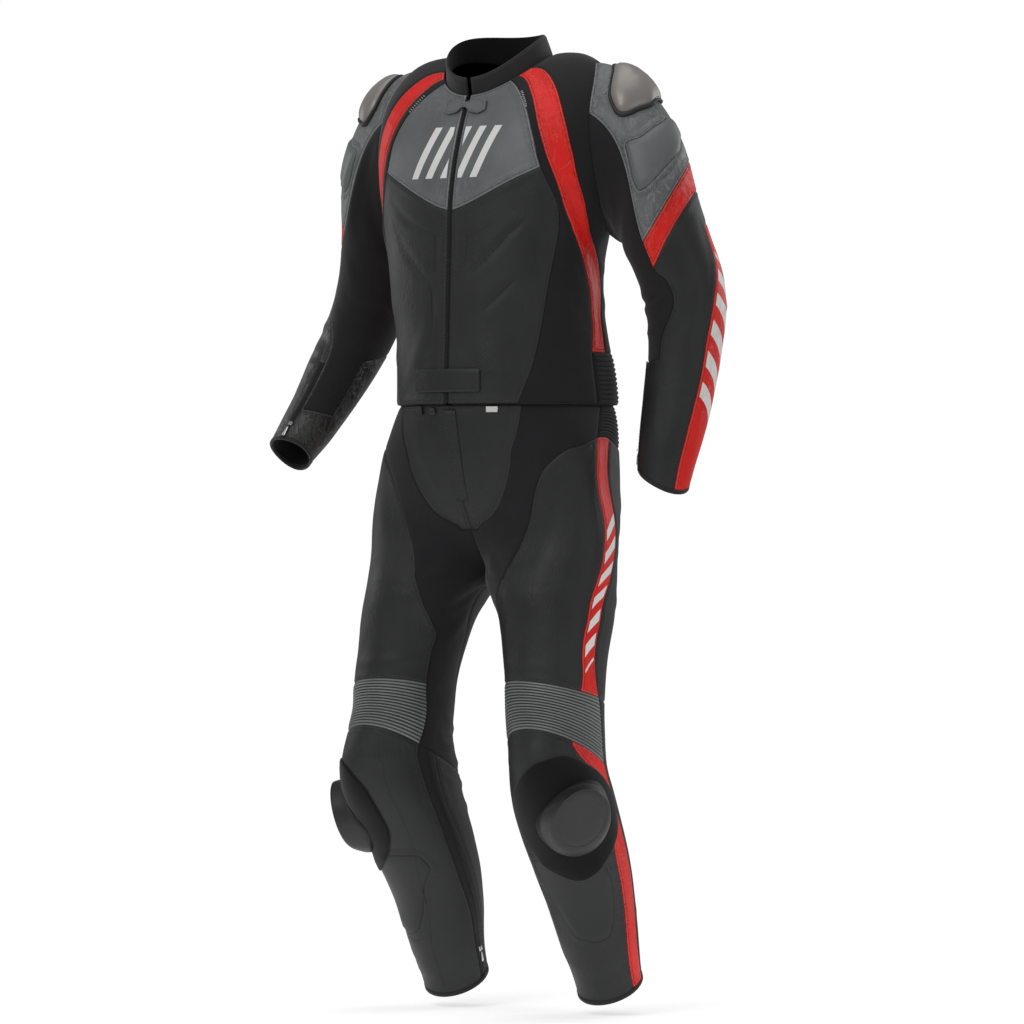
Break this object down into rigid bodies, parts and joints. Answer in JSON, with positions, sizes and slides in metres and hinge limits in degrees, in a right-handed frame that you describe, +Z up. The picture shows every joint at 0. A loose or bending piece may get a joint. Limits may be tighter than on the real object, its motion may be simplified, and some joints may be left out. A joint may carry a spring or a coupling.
{
  "type": "two-piece motorcycle race suit",
  "caption": "Two-piece leather race suit in worn form with no wearer: zip jacket with stand collar and shoulder plates, trousers with ribbed knees and round sliders.",
  "frame": {"origin": "middle of the collar's base, where the neck holds the suit", "axes": "+Z up, the wearer faces -Y, the wearer's left side is +X"},
  "size_m": [0.709, 0.3179, 1.4723],
  "materials": {
    "black_leather": "black cowhide, semi-matt",
    "black_stretch": "black stretch cloth, matt",
    "grey_leather": "mid grey cowhide",
    "red_leather": "bright red cowhide",
    "ribbed_grey": "dark grey accordion leather",
    "shell": "brushed warm grey plate",
    "slider_plastic": "black nylon, satin",
    "hook_pad": "black hook-and-loop pad",
    "zip_tape": "black zip tape",
    "zip_metal": "bare metal"
  },
  "bodies": {
    "suit": {"arm_band_left": "red_leather", "arm_band_right": "red_leather", "back": "black_leather", "calf_left": "black_leather", "calf_right": "black_leather", "calf_zip_left": "zip_tape", "calf_zip_right": "zip_tape", "chest_left": "grey_leather", "chest_right": "grey_leather", "collar": "black_stretch", "cuff_zip_left": "zip_tape", "cuff_zip_right": "zip_tape", "flank_left": "black_stretch", "flank_right": "black_stretch", "fly": "black_leather", "forearm_left": "black_leather", "forearm_right": "black_leather", "forearm_stripe_left": "red_leather", "forearm_stripe_right": "red_leather", "front_left": "black_leather", "front_right": "black_leather", "front_zip": "zip_tape", "hem_tab": "black_leather", "knee_patch_left": "hook_pad", "knee_patch_right": "hook_pad", "knee_ribs_left": "ribbed_grey", "knee_ribs_right": "ribbed_grey", "knee_slider_left": "slider_plastic", "knee_slider_right": "slider_plastic", "leg_inner_left": "black_stretch", "leg_inner_right": "black_stretch", "lumbar": "black_stretch", "neck_tab": "grey_leather", "seat": "black_leather", "shin_left": "black_leather", "shin_right": "black_leather", "shin_stripe_left": "red_leather", "shin_stripe_right": "red_leather", "shoulder_cup_left": "shell", "shoulder_cup_right": "shell", "side_left": "black_stretch", "side_right": "black_stretch", "sleeve_inner_left": "black_stretch", "sleeve_inner_right": "black_stretch", "sleeve_top_left": "grey_leather", "sleeve_top_right": "grey_leather", "stripe_left": "red_leather", "stripe_right": "red_leather", "thigh_left": "black_leather", "thigh_right": "black_leather", "thigh_stripe_left": "red_leather", "thigh_stripe_right": "red_leather", "trouser_lumbar": "black_stretch", "waistband": "black_stretch", "yoke_left": "black_leather", "yoke_right": "black_leather"},
    "cuff_pull_left": {"cuff_pull_left": "zip_metal"},
    "cuff_pull_right": {"cuff_pull_right": "zip_metal"},
    "calf_pull_left": {"calf_pull_left": "zip_metal"},
    "calf_pull_right": {"calf_pull_right": "zip_metal"}
  },
  "joints": [
    {"name": "cuff_pull_left_hinge", "type": "hinge", "parent": "suit", "child": "cuff_pull_left", "pos_m": [0.24274, 0.00929, -0.5822], "axis": [-0.5169, 0.8529, -0.0729], "range_deg": [0, 120]},
    {"name": "cuff_pull_right_hinge", "type": "hinge", "parent": "suit", "child": "cuff_pull_right", "pos_m": [-0.30246, -0.13283, -0.53795], "axis": [-0.9616, 0.1123, 0.2504], "range_deg": [0, 120]},
    {"name": "calf_pull_left_hinge", "type": "hinge", "parent": "suit", "child": "calf_pull_left", "pos_m": [0.08493, 0.07608, -1.34619], "axis": [0.0629, 0.9026, 0.426], "range_deg": [0, 120]},
    {"name": "calf_pull_right_hinge", "type": "hinge", "parent": "suit", "child": "calf_pull_right", "pos_m": [-0.08493, 0.07608, -1.34619], "axis": [0.0629, -0.9026, -0.426], "range_deg": [0, 120]}
  ]
}
